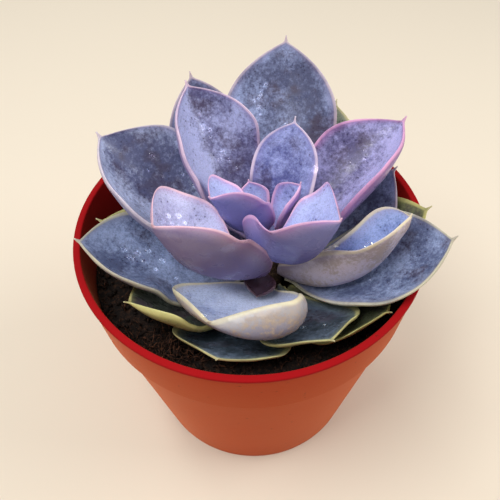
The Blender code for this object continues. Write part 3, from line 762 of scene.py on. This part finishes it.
def joined(shapes):
    """The points and faces of many small shapes as those of one mesh."""
    points, faces, base = [], [], 0
    for some_points, some_faces in shapes:
        points.append(some_points)
        faces += [tuple(base + i for i in face) for face in some_faces]
        base += len(some_points)
    return np.concatenate(points), faces


def set_attribute(mesh, name, values):
    """Gives every point of a mesh a number for its material to read."""
    mesh.attributes.new(name, "FLOAT", "POINT").data.foreach_set("value", np.asarray(values, np.float32))


# --- Leaves


def fine_stations(leaf):
    """Where a leaf's mesh has its points, along and across it, closer together at the tip and the edges."""
    reach = 3 * leaf.spike / leaf.length
    body = np.linspace(0, 1 - reach, STATIONS, endpoint=False)
    u = np.concatenate([body, 1 - reach + reach * np.linspace(0, 1, TIP_STATIONS) ** 0.85])
    return u, np.sin(np.linspace(-1, 1, 2 * HALF_PANELS + 1) * pi / 2)


# Ripples of a grown leaf, in millimetres: their lengths over 2 pi, and their heights
SWELL_LENGTH = 4.6
SWELL_HEIGHT = 0.16
WRINKLE_LENGTH = 1.9
WRINKLE_HEIGHT = 0.07


def ripple(leaf, u, v):
    """How far a leaf's skin stands off its plain surface. The wrinkles are strongest near the edge."""
    phase = leaf.heading * 0.37
    along = u[:, None] * leaf.length
    swell = np.sin(along / SWELL_LENGTH + phase) * np.sin(v * 2.3 + phase * 1.7)
    wrinkle = np.sin(along / WRINKLE_LENGTH + v * 3.1 + phase * 2.3) * np.abs(v) ** 3
    body = smoothstep(0.15, 0.4, u) * (1 - smoothstep(0.85, 0.97, u))
    return (SWELL_HEIGHT * swell + WRINKLE_HEIGHT * wrinkle) * body[:, None]


def rippled_skin(leaf, u, v, push, away):
    """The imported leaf's two surfaces, with its ripple."""
    top, bottom = skin(leaf, u, v, sampled(push, u, v)[..., None] * away)
    lift = np.cross(np.gradient(top, axis=0), np.gradient(top, axis=1))
    lift = lift / np.maximum(np.linalg.norm(lift, axis=2, keepdims=True), 1e-9)
    uneven = ripple(leaf, u, v)[..., None] * lift
    return top + uneven, bottom + uneven


# Extra wax on a leaf's left and right halves. It is below nothing where a neighbour has wiped it thin
EXTRA_WAX = {
    "leaf_05": (0.02, 0.04),
    "leaf_08": (0.16, -0.04),
    "leaf_09": (-0.05, 0.12),
    "leaf_10": (0.12, -0.03),
    "leaf_14": (-0.02, -0.03),
}


def make_leaf(leaf, push, away, material):
    """A closed loft round both of a leaf's surfaces. It carries what its material is mixed from."""
    u, v = fine_stations(leaf)
    top, bottom = rippled_skin(leaf, u, v, push, away)
    points, faces = lofted(np.concatenate([top, bottom[:, -2:0:-1]], 1))
    made = mesh_object("visual_" + leaf.name, points, faces, material, leaf.slot, (leaf.name,))
    right = half_width(leaf, u, leaf.widest_right) * leaf.right_share
    left = half_width(leaf, u, leaf.widest_left) * leaf.left_share
    inset = np.where(v < 0, right[:, None], left[:, None]) * (1 - np.abs(v))
    ring_v = np.concatenate([v, v[-2:0:-1]])
    on_top = np.concatenate([[0.5], np.ones(len(v) - 2), [0.5], np.zeros(len(v) - 2)])
    left_wax, right_wax = EXTRA_WAX.get(leaf.name, (0, 0))
    wax = np.where(ring_v > 0, left_wax, right_wax) * smoothstep(0.0, 0.3, abs(ring_v))
    inset = np.concatenate([inset, inset[:, -2:0:-1]], 1)
    for name, values in {"along": u[:, None], "inset": inset, "top": on_top, "extra_wax": wax}.items():
        values = np.broadcast_to(values, (len(u), len(ring_v)))
        ends = [values[0].mean(), values[-1].mean()]
        set_attribute(made.data, name, np.concatenate([values.reshape(-1), ends]))


class ECHEVERIA_OT_leaves(bpy.types.Operator):
    """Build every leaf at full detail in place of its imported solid"""

    bl_idname = "echeveria.leaves"
    bl_label = "Leaves"

    def execute(self, context):
        settings = context.scene.echeveria_leaf
        materials = {name: leaf_skin(name, settings) for name in SKINS}
        for leaf, push, away in settled_leaves():
            kind = next(name for name, leaves in SKIN_OF.items() if leaf.name in leaves)
            make_leaf(leaf, push, away, materials[kind])
        return {"FINISHED"}


# --- Stem

# (height over the rim, radius)
STEM_PROFILE = [
    (-32, 1.2),
    (-26, 2.6),
    (-20, 4.6),
    (-13, 4.6),
    (-10, 3.2),
    (-6, 3.0),
    (-2.5, 1.4),
    (-1, 0.8),
]
STEM_SIDES = 48
STEM_RINGS = 60
SCAR_DEPTH = 0.05
SCARS_ROUND = 5
SCAR_TWIST = 1.9  # radians per millimetre of height


class ECHEVERIA_OT_stem(bpy.types.Operator):
    """Build the short corky stem"""

    bl_idname = "echeveria.stem"
    bl_label = "Stem"

    def execute(self, context):
        turns = np.linspace(0, 2 * pi, STEM_SIDES, endpoint=False)
        circle = np.stack([np.cos(turns), np.sin(turns), 0 * turns], 1)
        rings = []
        for height in np.linspace(STEM_PROFILE[0][0], STEM_PROFILE[-1][0], STEM_RINGS):
            radius = np.interp(height, *zip(*STEM_PROFILE))
            scars = 1 - SCAR_DEPTH * (0.5 + 0.5 * np.sin(SCARS_ROUND * turns + SCAR_TWIST * height))
            rings.append(crown_at(height) + radius * scars[:, None] * circle)
        bark = crumbly("corky_stem", "#3B2A1E", "#7A5F44", 0.9 * MM)
        mesh_object("visual_stem", *lofted(rings), bark, "stem_skin", ("stem",))
        return {"FINISHED"}


# --- Pot

BASE_RADIUS = 37.9
WALL = 1.3
LIP_WIDTH = 2.1
LIP_THICK = 1.0
LIP_OVERHANG = 0.45
COLLAR_HEIGHT = 20.0
COLLAR_TAPER = 1.9
COLLAR_STEP = 1.3
FLOOR_THICK = 1.8
COLLAR_FOOT = POT_HEIGHT - COLLAR_HEIGHT
INNER_STEP = (COLLAR_FOOT - 0.5, COLLAR_FOOT + 1)  # heights between which the inside steps out
OUTER_STEP = (COLLAR_FOOT - 0.5, COLLAR_FOOT - 0.3)
LIP_FOOT = POT_HEIGHT - LIP_THICK
LIP_EASE = 0.2  # height over which the collar runs out into the lip
LIP_FADE = 0.9  # depth below the lip at which its colour starts
SKIN_DEPTH = 1.2  # what lies this much inside the outline has the colour of the inside
AXIS_GAP = 0.2  # the outline stops this short of the axis
EDGE_ROUND = 0.5
MOST_ROUND = 0.45  # of the stretch beside a corner
POT_STEPS = 256
DRAIN_RADIUS = 4.5
DRAIN_RING = 24.0
DRAIN_COUNT = 5
DRAIN_TURN = 0.3  # radians
DRILL_CORE = 0.01  # the cutter's outline stops this short of its axis
DRILL_REACH = 3.0
DRILL_SIDES = 48


def inner_radius(height):
    """Radius of the pot's inside at a height over its foot."""
    heights = [FLOOR_THICK, *INNER_STEP, POT_HEIGHT]
    body_top = RIM_RADIUS - LIP_OVERHANG - COLLAR_TAPER - COLLAR_STEP - WALL
    radii = [BASE_RADIUS - WALL, body_top, body_top + COLLAR_STEP, RIM_RADIUS - LIP_WIDTH]
    return float(np.interp(height, heights, radii))


def rounded(corners, radius, steps=5):
    """The closed outline with each corner replaced by a small arc, drawn as a quadratic curve."""
    corners = [np.array(corner, float) for corner in corners]
    outline = []
    for before, corner, after in zip(corners[-1:] + corners[:-1], corners, corners[1:] + corners[:1]):
        start = corner + (before - corner) * min(MOST_ROUND, radius / np.linalg.norm(before - corner))
        end = corner + (after - corner) * min(MOST_ROUND, radius / np.linalg.norm(after - corner))
        for t in np.linspace(0, 1, steps):
            outline.append((1 - t) ** 2 * start + 2 * t * (1 - t) * corner + t * t * end)
    return outline


class ECHEVERIA_OT_pot(bpy.types.Operator):
    """Build the moulded pot with its collar, rolled lip and drain holes"""

    bl_idname = "echeveria.pot"
    bl_label = "Pot"

    def execute(self, context):
        collar_top = RIM_RADIUS - LIP_OVERHANG
        foot_radius = collar_top - COLLAR_TAPER
        outside = [(AXIS_GAP, 0), (BASE_RADIUS, 0), (foot_radius - COLLAR_STEP, OUTER_STEP[0]),
                   (foot_radius, OUTER_STEP[1]), (collar_top, LIP_FOOT - LIP_EASE), (RIM_RADIUS, LIP_FOOT),
                   (RIM_RADIUS, POT_HEIGHT), (RIM_RADIUS - LIP_WIDTH, POT_HEIGHT)]
        inside = [(inner_radius(level), level) for level in (*reversed(INNER_STEP), FLOOR_THICK)]
        points, faces = lathed(rounded([*outside, *inside, (AXIS_GAP, FLOOR_THICK)], EDGE_ROUND), POT_STEPS)
        plastic = moulded_pot(context.scene.echeveria_pot)
        made = mesh_object("visual_pot", points, faces, plastic, "pot_plastic", ("pot",))
        reach, height = np.hypot(points[:, 0], points[:, 1]), points[:, 2]
        radii = [BASE_RADIUS, foot_radius, RIM_RADIUS]
        # Where the painted light of the lip and inside goes: what lies deeper than the outline's skin, and
        # the lip itself
        within = reach < np.interp(height, [0, COLLAR_FOOT, POT_HEIGHT], radii) - SKIN_DEPTH
        lip = smoothstep(LIP_FOOT - LIP_FADE, LIP_FOOT - LIP_EASE, height)
        set_attribute(made.data, "inside", np.maximum(within, lip))
        for i in range(DRAIN_COUNT):
            self.drill(context, made, 2 * pi * i / DRAIN_COUNT + DRAIN_TURN)
        return {"FINISHED"}

    def drill(self, context, pot, turn):
        """Cuts one drain hole through the floor."""
        outline = [(DRILL_CORE, -DRILL_REACH), (DRAIN_RADIUS, -DRILL_REACH), (DRAIN_RADIUS, DRILL_REACH),
                   (DRILL_CORE, DRILL_REACH)]
        points, faces = lathed(outline, DRILL_SIDES)
        points = points + [DRAIN_RING * cos(turn), DRAIN_RING * sin(turn), 0]
        cutter = mesh_object("drill", points, faces, pot.data.materials[0])
        boolean = pot.modifiers.new("drain", "BOOLEAN")
        boolean.object = cutter
        boolean.operation = "DIFFERENCE"
        context.view_layer.objects.active = pot
        bpy.ops.object.modifier_apply(modifier=boolean.name)
        bpy.data.objects.remove(cutter)


# --- Peat

SOIL_DEPTH = 15.0  # of its surface below the rim
SOIL_GAP = 0.35
PEAT_HEIGHT = POT_HEIGHT - SOIL_DEPTH
PEAT_STEP = (INNER_STEP[0] - 0.3, INNER_STEP[1] + 0.2)  # heights between which the fill steps out
PEAT_SEED = 12
SOIL_RINGS = 110
SOIL_SPOKES = 300
SOIL_DROP = 0.2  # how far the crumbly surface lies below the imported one, on the whole
LOOK_INWARDS = 0.985  # heights are looked up nearer the middle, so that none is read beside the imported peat
OPEN_EDGE = 1.5  # distance from the wall at which crumbs and fibres start
CRUMB_COUNT = 1500
CRUMB_SIZES = (0.3, 1.1)
CRUMB_ROUGHNESS = 0.25
CRUMB_RISE = 0.25
FIBRE_COUNT = 420
FIBRE_STEPS = 7
FIBRE_SIDES = 4
FIBRE_LENGTHS = (2, 6)
FIBRE_RADII = (0.08, 0.2)
FIBRE_BEND = 1.6  # radians from end to end, at most
FIBRE_CLIMB = 0.5  # a quarter of the height of the highest arch
FIBRE_RISE = 0.3
FIBRE_CLEARANCE = 0.6
LUMP_PLACE = (-26, -37)
LUMP_SPREAD = (6, 4)
LUMP_CLEARANCE = 2


def crumble(x, y):
    """Small rise and fall of loose peat, in millimetres."""
    coarse = np.sin(1.3 * x + 2 * np.sin(0.9 * y)) * np.sin(1.1 * y + 1.7 * np.sin(0.8 * x))
    fine = np.sin(3.7 * x + 1.3 * np.sin(2.9 * y)) * np.sin(3.3 * y + 1.1 * np.sin(3.1 * x))
    return 0.35 * coarse + 0.22 * fine


class ECHEVERIA_OT_peat(bpy.types.Operator):
    """Build the peat with its crumbs and fibres"""

    bl_idname = "echeveria.peat"
    bl_label = "Peat"

    def execute(self, context):
        peat = crumbly("milled_peat", (*context.scene.echeveria_pot.peat_colour, 1), "#4A3020", 1.4 * MM)
        dry = crumbly("dry_peat_fibre", "#2A1810", "#7A4E34", 1.0 * MM)
        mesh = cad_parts["soil"].data
        corners = [vert.co[:] for vert in mesh.vertices]
        self.packed = BVHTree.FromPolygons(corners, [face.vertices[:] for face in mesh.polygons])
        self.body(peat)
        rng = np.random.default_rng(PEAT_SEED)
        self.crumbs(rng, peat)
        self.fibres(rng, dry)
        return {"FINISHED"}

    def top(self, x, y):
        """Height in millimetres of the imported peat's surface at a place."""
        place = self.packed.ray_cast(Vector((x * MM, y * MM, 1)), Vector((0, 0, -1)))[0]
        return place.z / MM if place else PEAT_HEIGHT

    def body(self, peat):
        """The fill: plain below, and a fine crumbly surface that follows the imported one."""
        turns = np.linspace(0, 2 * pi, SOIL_SPOKES, endpoint=False)
        circle = np.stack([np.cos(turns), np.sin(turns)], 1)
        rings = []
        for level in (FLOOR_THICK + SOIL_GAP, *PEAT_STEP):
            rings.append(np.c_[circle * (inner_radius(level) - SOIL_GAP), np.full(SOIL_SPOKES, level)])
        outer = inner_radius(PEAT_HEIGHT) - SOIL_GAP
        for i in range(SOIL_RINGS):
            flat = circle * outer * (1 - i / SOIL_RINGS)
            heights = np.array([self.top(x * LOOK_INWARDS, y * LOOK_INWARDS) for x, y in flat])
            rings.append(np.c_[flat, heights + crumble(flat[:, 0], flat[:, 1]) - SOIL_DROP])
        mesh_object("visual_soil", *lofted(rings), peat, "peat", ("soil",))

    def places(self, rng, count):
        """Places on the open peat, more of them near the wall, where it shows."""
        turns = rng.uniform(0, 2 * pi, count)
        radii = (inner_radius(PEAT_HEIGHT) - OPEN_EDGE) * (1 - 0.55 * rng.random(count) ** 1.6)
        return np.stack([radii * np.cos(turns), radii * np.sin(turns)], 1)

    def crumbs(self, rng, peat):
        """Small lumps of many shapes, half sunk in the surface."""
        ball = bmesh.new()
        bmesh.ops.create_icosphere(ball, subdivisions=1, radius=1)
        shape = np.array([vert.co[:] for vert in ball.verts])
        faces = [[vert.index for vert in face.verts] for face in ball.faces]
        ball.free()
        lumps = []
        for x, y in self.places(rng, CRUMB_COUNT):
            size = rng.uniform(*CRUMB_SIZES) * rng.uniform(0.6, 1.0, 3)
            rough = shape * (1 + rng.uniform(-CRUMB_ROUGHNESS, CRUMB_ROUGHNESS, (len(shape), 1)))
            lumps.append((rough * size + [x, y, self.top(x, y) + CRUMB_RISE], faces))
        mesh_object("visual_crumbs", *joined(lumps), peat, "peat")

    def fibres(self, rng, dry):
        """Root hairs and peat fibres, thickest in the lump by the wall at front left."""
        centres = self.places(rng, FIBRE_COUNT)
        lump = rng.normal(LUMP_PLACE, LUMP_SPREAD, (FIBRE_COUNT // 2, 2))
        inside = np.hypot(lump[:, 0], lump[:, 1]) < inner_radius(PEAT_HEIGHT) - LUMP_CLEARANCE
        hairs = [self.fibre(rng, x, y) for x, y in np.concatenate([centres, lump[inside]])]
        mesh_object("visual_fibres", *joined(hairs), dry, "peat")

    def fibre(self, rng, x, y):
        """One short bent hair, which stays inside the wall."""
        turn, bend = rng.uniform(0, 2 * pi), rng.uniform(-FIBRE_BEND, FIBRE_BEND)
        climb = rng.uniform(0.0, FIBRE_CLIMB)
        length, radius = rng.uniform(*FIBRE_LENGTHS), rng.uniform(*FIBRE_RADII)
        t = np.linspace(0, 1, FIBRE_STEPS)
        heading = turn + bend * t
        wander = [np.cumsum(np.cos(heading)), np.cumsum(np.sin(heading))]
        path = np.stack([*wander, 4 * climb * np.sin(pi * t)], 1)
        path[:, :2] *= length / FIBRE_STEPS
        path += [x, y, self.top(x, y) + FIBRE_RISE]
        limit = inner_radius(PEAT_HEIGHT) - FIBRE_CLEARANCE
        path[:, :2] *= np.minimum(1, limit / np.hypot(path[:, 0], path[:, 1]))[:, None]
        spokes = np.linspace(0, 2 * pi, FIBRE_SIDES, endpoint=False)
        rings = []
        for place, way in zip(path, heading):
            side = np.array([-sin(way), cos(way), 0])
            rings.append([place + radius * (cos(a) * side + sin(a) * np.array([0, 0, 1])) for a in spokes])
        return lofted(rings)


# --- Water drops

# Drops on each leaf: (along, across, share of the largest width). Across is negative on the right
DROPS = {
    "leaf_08": [(0.80, -0.05, 0.6), (0.77, -0.2, 0.45), (0.73, 0.0, 0.9), (0.70, -0.12, 0.6),
                (0.66, -0.05, 0.5), (0.55, -0.15, 1.0), (0.52, -0.05, 0.8), (0.50, -0.22, 0.7),
                (0.44, -0.3, 0.5), (0.3, -0.1, 0.6)],
    "leaf_11": [(0.78, 0.35, 0.8), (0.75, 0.42, 0.6), (0.72, 0.38, 0.9), (0.70, 0.5, 0.6),
                (0.67, 0.42, 0.8), (0.64, 0.33, 0.5), (0.62, 0.5, 0.6), (0.60, -0.1, 0.7),
                (0.52, -0.25, 0.5), (0.55, -0.4, 0.4)],
    "leaf_10": [(0.74, -0.45, 1.0), (0.70, -0.25, 0.6), (0.62, -0.35, 0.5), (0.55, -0.6, 0.7),
                (0.45, -0.65, 0.9)],
    "leaf_09": [(0.72, 0.25, 0.6), (0.68, 0.15, 0.7), (0.62, 0.3, 0.4)],
    "leaf_17": [(0.72, -0.2, 0.8), (0.68, -0.05, 1.0), (0.64, -0.2, 0.9), (0.60, -0.05, 0.7),
                (0.58, -0.3, 0.8), (0.54, 0.1, 0.6), (0.5, -0.15, 0.9), (0.42, 0.2, 0.5)],
    "leaf_06": [(0.84, -0.35, 0.7), (0.80, -0.5, 0.8), (0.76, -0.4, 0.9), (0.72, -0.6, 0.8),
                (0.70, -0.45, 0.6), (0.66, -0.55, 0.5)],
    "leaf_07": [(0.42, 0.93, 0.9), (0.48, 0.95, 0.7), (0.36, 0.9, 0.6), (0.80, -0.93, 0.9)],
    "leaf_05": [(0.62, -0.95, 1.0), (0.30, -0.92, 0.8), (0.7, 0.2, 0.3)],
    "leaf_14": [(0.6, 0.2, 0.5), (0.5, -0.2, 0.4), (0.72, -0.1, 0.4)],
    "leaf_13": [(0.92, -0.5, 0.9), (0.7, 0.96, 0.8), (0.8, 0.95, 0.7)],
    "leaf_20": [(0.7, 0.2, 0.5), (0.6, -0.1, 0.6)],
}
# Steps of the grid on a leaf whose crossings the drops lie on
DROP_ALONG = 100
DROP_ACROSS = 40
DROP_SIDES = 16
DROP_TILTS = np.linspace(-1.2, 1.45, 9)  # of the lines from a drop's middle to its rings
DROP_FLATNESS = 0.62
DROP_RISE = 0.35
DROP_STRETCH = 1.15


class ECHEVERIA_OT_drops(bpy.types.Operator):
    """Lay water drops on the leaves"""

    bl_idname = "echeveria.drops"
    bl_label = "Water Drops"

    def execute(self, context):
        water = clear_water()
        u, v = np.linspace(0, 1, DROP_ALONG + 1), np.linspace(-1, 1, DROP_ACROSS + 1)
        for leaf, push, away in settled_leaves():
            if leaf.name not in DROPS:
                continue
            top, _ = rippled_skin(leaf, u, v, push, away)
            shapes = []
            for along, across, share in DROPS[leaf.name]:
                i = round(DROP_ALONG * along)
                j = min(max(round(DROP_ACROSS / 2 * (across + 1)), 1), DROP_ACROSS - 1)
                shapes.append(self.drop(top, i, j, share * context.scene.echeveria_drop.largest / MM / 2))
            beads = mesh_object("drops_" + leaf.name, *joined(shapes), water, "water")
            beads.visible_shadow = False
        return {"FINISHED"}

    def drop(self, top, i, j, radius):
        """A flattened bead, sunk a little into the leaf and drawn out down the slope."""
        ahead = top[i + 1, j] - top[i - 1, j]
        ahead = ahead / np.linalg.norm(ahead)
        up = np.cross(ahead, top[i, j + 1] - top[i, j - 1])
        up = up / np.linalg.norm(up)
        side = np.cross(up, ahead)
        turns = np.linspace(0, 2 * pi, DROP_SIDES, endpoint=False)
        rings = []
        for tilt in DROP_TILTS:
            flat = radius * cos(tilt)
            middle = top[i, j] + (DROP_FLATNESS * radius * sin(tilt) + DROP_RISE * radius) * up
            rings.append([middle + flat * (DROP_STRETCH * cos(a) * ahead + sin(a) * side) for a in turns])
        return lofted(rings)


# --- Stage

CAMERA_TILT = 50.3
CAMERA_ROLL = -1.8
CAMERA_PLACE = (-0.0002, -0.1224, 0.2232)
CAMERA_LENS = 43.2
CAMERA_SENSOR = 36
CAMERA_NEAR = 0.005
FLOOR_REACH = 1500
AIM = (0, 0, 0.09)
LIGHT_PLACES = {
    "key": (-0.2, -0.12, 0.6),
    "back": (-0.25, 0.4, 0.5),
    "fill": (0.45, 0.0, 0.45),
}
LIGHT_SIZES = {"key": 0.3, "back": 0.25, "fill": 0.35}
BACK_SHARE = 0.5  # of the fill light's power
WORLD_STRENGTH = 0.42


class ECHEVERIA_OT_stage(bpy.types.Operator):
    """Lay the floor and set up the camera, the lights and the world"""

    bl_idname = "echeveria.stage"
    bl_label = "Stage"

    def execute(self, context):
        settings = context.scene.echeveria_stage
        corners = [(FLOOR_REACH * x, FLOOR_REACH * y, 0) for x, y in ((-1, -1), (1, -1), (1, 1), (-1, 1))]
        floor = mesh_object("floor", corners, [(0, 1, 2, 3)], matt_paper((*settings.floor_colour, 1)))
        self.light(context, "key", settings.key_power)
        self.light(context, "back", BACK_SHARE * settings.fill_power)
        self.light(context, "fill", settings.fill_power)
        world = bpy.data.worlds.new("studio")
        world.use_nodes = True
        background = world.node_tree.nodes["Background"]
        background.inputs["Color"].default_value = (*linear("#FFFFFF"), 1)
        background.inputs["Strength"].default_value = WORLD_STRENGTH
        context.scene.world = world
        self.camera(context)
        context.scene.view_settings.view_transform = "Standard"
        return {"FINISHED"}

    def light(self, context, name, power):
        """A large soft light aimed at the plant."""
        data = bpy.data.lights.new(name, "AREA")
        data.size = LIGHT_SIZES[name]
        data.energy = power
        lamp = bpy.data.objects.new(name, data)
        lamp.location = LIGHT_PLACES[name]
        lamp.rotation_euler = (Vector(AIM) - lamp.location).to_track_quat("-Z", "Y").to_euler()
        context.scene.collection.objects.link(lamp)

    def camera(self, context):
        """The camera above the front of the pot, looking down."""
        data = bpy.data.cameras.new("camera")
        data.sensor_width = CAMERA_SENSOR
        data.lens = CAMERA_LENS
        data.clip_start = CAMERA_NEAR
        camera = bpy.data.objects.new("camera", data)
        tilt = Matrix.Rotation(radians(90 - CAMERA_TILT), 4, "X")
        roll = Matrix.Rotation(radians(CAMERA_ROLL), 4, "Z")
        camera.matrix_world = Matrix.Translation(CAMERA_PLACE) @ tilt @ roll
        context.scene.collection.objects.link(camera)
        context.scene.camera = camera


# --- Add-on

STEPS = (
    ECHEVERIA_OT_pot,
    ECHEVERIA_OT_peat,
    ECHEVERIA_OT_stem,
    ECHEVERIA_OT_leaves,
    ECHEVERIA_OT_drops,
    ECHEVERIA_OT_stage,
)


class ECHEVERIA_PT_panel(bpy.types.Panel):
    """Lists the build steps in order, with their settings"""

    bl_idname = "ECHEVERIA_PT_panel"
    bl_label = "Potted Echeveria"
    bl_space_type = "VIEW_3D"
    bl_region_type = "UI"
    bl_category = "Echeveria"

    def draw(self, context):
        scene = context.scene
        for group in (scene.echeveria_leaf, scene.echeveria_pot, scene.echeveria_drop, scene.echeveria_stage):
            box = self.layout.box()
            for key in group.__annotations__:
                box.prop(group, key)
        for step in STEPS:
            self.layout.operator(step.bl_idname)


GROUPS = {
    "echeveria_leaf": LeafSettings,
    "echeveria_pot": PotSettings,
    "echeveria_drop": DropSettings,
    "echeveria_stage": StageSettings,
}
CLASSES = (*GROUPS.values(), *STEPS, ECHEVERIA_PT_panel)


def register():
    for made in CLASSES:
        bpy.utils.register_class(made)
    for name, group in GROUPS.items():
        setattr(bpy.types.Scene, name, PointerProperty(type=group))


def unregister():
    for name in GROUPS:
        delattr(bpy.types.Scene, name)
    for made in reversed(CLASSES):
        bpy.utils.unregister_class(made)


def main():
    register()
    for step in STEPS:
        getattr(bpy.ops.echeveria, step.bl_idname.split(".")[1])()


if __name__ == "__main__":
    main()
